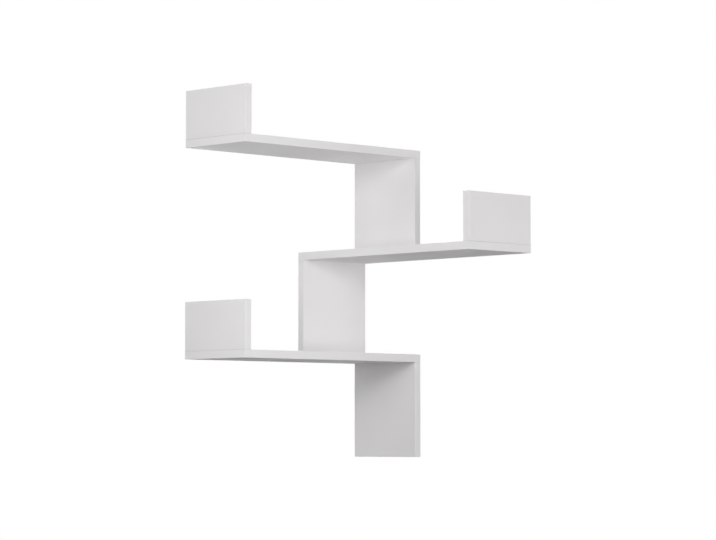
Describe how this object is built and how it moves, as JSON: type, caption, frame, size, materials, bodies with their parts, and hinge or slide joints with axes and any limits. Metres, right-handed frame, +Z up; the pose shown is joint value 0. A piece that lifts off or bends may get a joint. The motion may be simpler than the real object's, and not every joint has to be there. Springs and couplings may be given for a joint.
{
  "type": "corner shelf unit",
  "caption": "White zig-zag shelf for an inside room corner: shelves cross over from wall to wall, each on an upright and with a low end panel, joined by cam locks.",
  "frame": {"origin": "on the line where the two room walls meet, level with the foot of the bottom upright", "axes": "+Z up along the room corner; +X out of the left wall, along the right wall; +Y into the right wall, so the unit lies on the -Y side of it and the left wall is the plane x = 0"},
  "size_m": [0.545, 0.545, 0.8195],
  "materials": {
    "white_board": "white melamine-faced chipboard, satin with a fine grain",
    "white_edge": "white plastic edge strip, satin",
    "cam_zinc": "die-cast zinc, dull",
    "bolt_steel": "zinc-plated steel",
    "screw_steel": "zinc-plated steel",
    "bracket_steel": "zinc-plated steel sheet, satin",
    "dowel_beech": "raw beech"
  },
  "bodies": {
    "shelf_unit": {"top_shelf": "white_board", "top_upright": "white_board", "top_end_panel": "white_board", "middle_shelf": "white_board", "middle_upright": "white_board", "middle_end_panel": "white_board", "bottom_shelf": "white_board", "bottom_upright": "white_board", "bottom_end_panel": "white_board", "top_shelf_edge_bands": "white_edge", "top_upright_edge_bands": "white_edge", "top_end_panel_edge_bands": "white_edge", "middle_shelf_edge_bands": "white_edge", "middle_upright_edge_bands": "white_edge", "middle_end_panel_edge_bands": "white_edge", "bottom_shelf_edge_bands": "white_edge", "bottom_upright_edge_bands": "white_edge", "bottom_end_panel_edge_bands": "white_edge", "top_far_bracket": "bracket_steel", "top_corner_bracket": "bracket_steel", "middle_far_bracket": "bracket_steel", "bottom_far_bracket": "bracket_steel", "cam_bolts": "bolt_steel", "dowels": "dowel_beech", "bracket_screws": "screw_steel"},
    "top_upright_upper_rear_cam": {"top_upright_upper_rear_cam": "cam_zinc"},
    "top_upright_upper_front_cam": {"top_upright_upper_front_cam": "cam_zinc"},
    "top_upright_lower_rear_cam": {"top_upright_lower_rear_cam": "cam_zinc"},
    "top_upright_lower_front_cam": {"top_upright_lower_front_cam": "cam_zinc"},
    "middle_upright_upper_rear_cam": {"middle_upright_upper_rear_cam": "cam_zinc"},
    "middle_upright_upper_front_cam": {"middle_upright_upper_front_cam": "cam_zinc"},
    "middle_upright_lower_rear_cam": {"middle_upright_lower_rear_cam": "cam_zinc"},
    "middle_upright_lower_front_cam": {"middle_upright_lower_front_cam": "cam_zinc"},
    "bottom_upright_upper_rear_cam": {"bottom_upright_upper_rear_cam": "cam_zinc"},
    "bottom_upright_upper_front_cam": {"bottom_upright_upper_front_cam": "cam_zinc"},
    "top_end_panel_rear_cam": {"top_end_panel_rear_cam": "cam_zinc"},
    "top_end_panel_front_cam": {"top_end_panel_front_cam": "cam_zinc"},
    "middle_end_panel_rear_cam": {"middle_end_panel_rear_cam": "cam_zinc"},
    "middle_end_panel_front_cam": {"middle_end_panel_front_cam": "cam_zinc"},
    "bottom_end_panel_rear_cam": {"bottom_end_panel_rear_cam": "cam_zinc"},
    "bottom_end_panel_front_cam": {"bottom_end_panel_front_cam": "cam_zinc"}
  },
  "joints": [
    {"name": "top_upright_upper_rear_cam_turn", "type": "hinge", "parent": "shelf_unit", "child": "top_upright_upper_rear_cam", "pos_m": [0.037, -0.009, 0.6575], "axis": [0, 1, 0], "range_deg": [0, 190]},
    {"name": "top_upright_upper_front_cam_turn", "type": "hinge", "parent": "shelf_unit", "child": "top_upright_upper_front_cam", "pos_m": [0.163, -0.009, 0.6575], "axis": [0, 1, 0], "range_deg": [0, 190]},
    {"name": "top_upright_lower_rear_cam_turn", "type": "hinge", "parent": "shelf_unit", "child": "top_upright_lower_rear_cam", "pos_m": [0.037, -0.009, 0.507], "axis": [0, 1, 0], "range_deg": [0, 190]},
    {"name": "top_upright_lower_front_cam_turn", "type": "hinge", "parent": "shelf_unit", "child": "top_upright_lower_front_cam", "pos_m": [0.163, -0.009, 0.507], "axis": [0, 1, 0], "range_deg": [0, 190]},
    {"name": "middle_upright_upper_rear_cam_turn", "type": "hinge", "parent": "shelf_unit", "child": "middle_upright_upper_rear_cam", "pos_m": [0.009, -0.037, 0.421], "axis": [-1, 0, 0], "range_deg": [0, 190]},
    {"name": "middle_upright_upper_front_cam_turn", "type": "hinge", "parent": "shelf_unit", "child": "middle_upright_upper_front_cam", "pos_m": [0.009, -0.163, 0.421], "axis": [-1, 0, 0], "range_deg": [0, 190]},
    {"name": "middle_upright_lower_rear_cam_turn", "type": "hinge", "parent": "shelf_unit", "child": "middle_upright_lower_rear_cam", "pos_m": [0.009, -0.037, 0.2705], "axis": [-1, 0, 0], "range_deg": [0, 190]},
    {"name": "middle_upright_lower_front_cam_turn", "type": "hinge", "parent": "shelf_unit", "child": "middle_upright_lower_front_cam", "pos_m": [0.009, -0.163, 0.2705], "axis": [-1, 0, 0], "range_deg": [0, 190]},
    {"name": "bottom_upright_upper_rear_cam_turn", "type": "hinge", "parent": "shelf_unit", "child": "bottom_upright_upper_rear_cam", "pos_m": [0.037, -0.009, 0.1845], "axis": [0, 1, 0], "range_deg": [0, 190]},
    {"name": "bottom_upright_upper_front_cam_turn", "type": "hinge", "parent": "shelf_unit", "child": "bottom_upright_upper_front_cam", "pos_m": [0.163, -0.009, 0.1845], "axis": [0, 1, 0], "range_deg": [0, 190]},
    {"name": "top_end_panel_rear_cam_turn", "type": "hinge", "parent": "shelf_unit", "child": "top_end_panel_rear_cam", "pos_m": [0.037, -0.536, 0.7435], "axis": [0, 1, 0], "range_deg": [0, 190]},
    {"name": "top_end_panel_front_cam_turn", "type": "hinge", "parent": "shelf_unit", "child": "top_end_panel_front_cam", "pos_m": [0.163, -0.536, 0.7435], "axis": [0, 1, 0], "range_deg": [0, 190]},
    {"name": "middle_end_panel_rear_cam_turn", "type": "hinge", "parent": "shelf_unit", "child": "middle_end_panel_rear_cam", "pos_m": [0.536, -0.037, 0.507], "axis": [-1, 0, 0], "range_deg": [0, 190]},
    {"name": "middle_end_panel_front_cam_turn", "type": "hinge", "parent": "shelf_unit", "child": "middle_end_panel_front_cam", "pos_m": [0.536, -0.163, 0.507], "axis": [-1, 0, 0], "range_deg": [0, 190]},
    {"name": "bottom_end_panel_rear_cam_turn", "type": "hinge", "parent": "shelf_unit", "child": "bottom_end_panel_rear_cam", "pos_m": [0.037, -0.536, 0.2705], "axis": [0, 1, 0], "range_deg": [0, 190]},
    {"name": "bottom_end_panel_front_cam_turn", "type": "hinge", "parent": "shelf_unit", "child": "bottom_end_panel_front_cam", "pos_m": [0.163, -0.536, 0.2705], "axis": [0, 1, 0], "range_deg": [0, 190]}
  ]
}
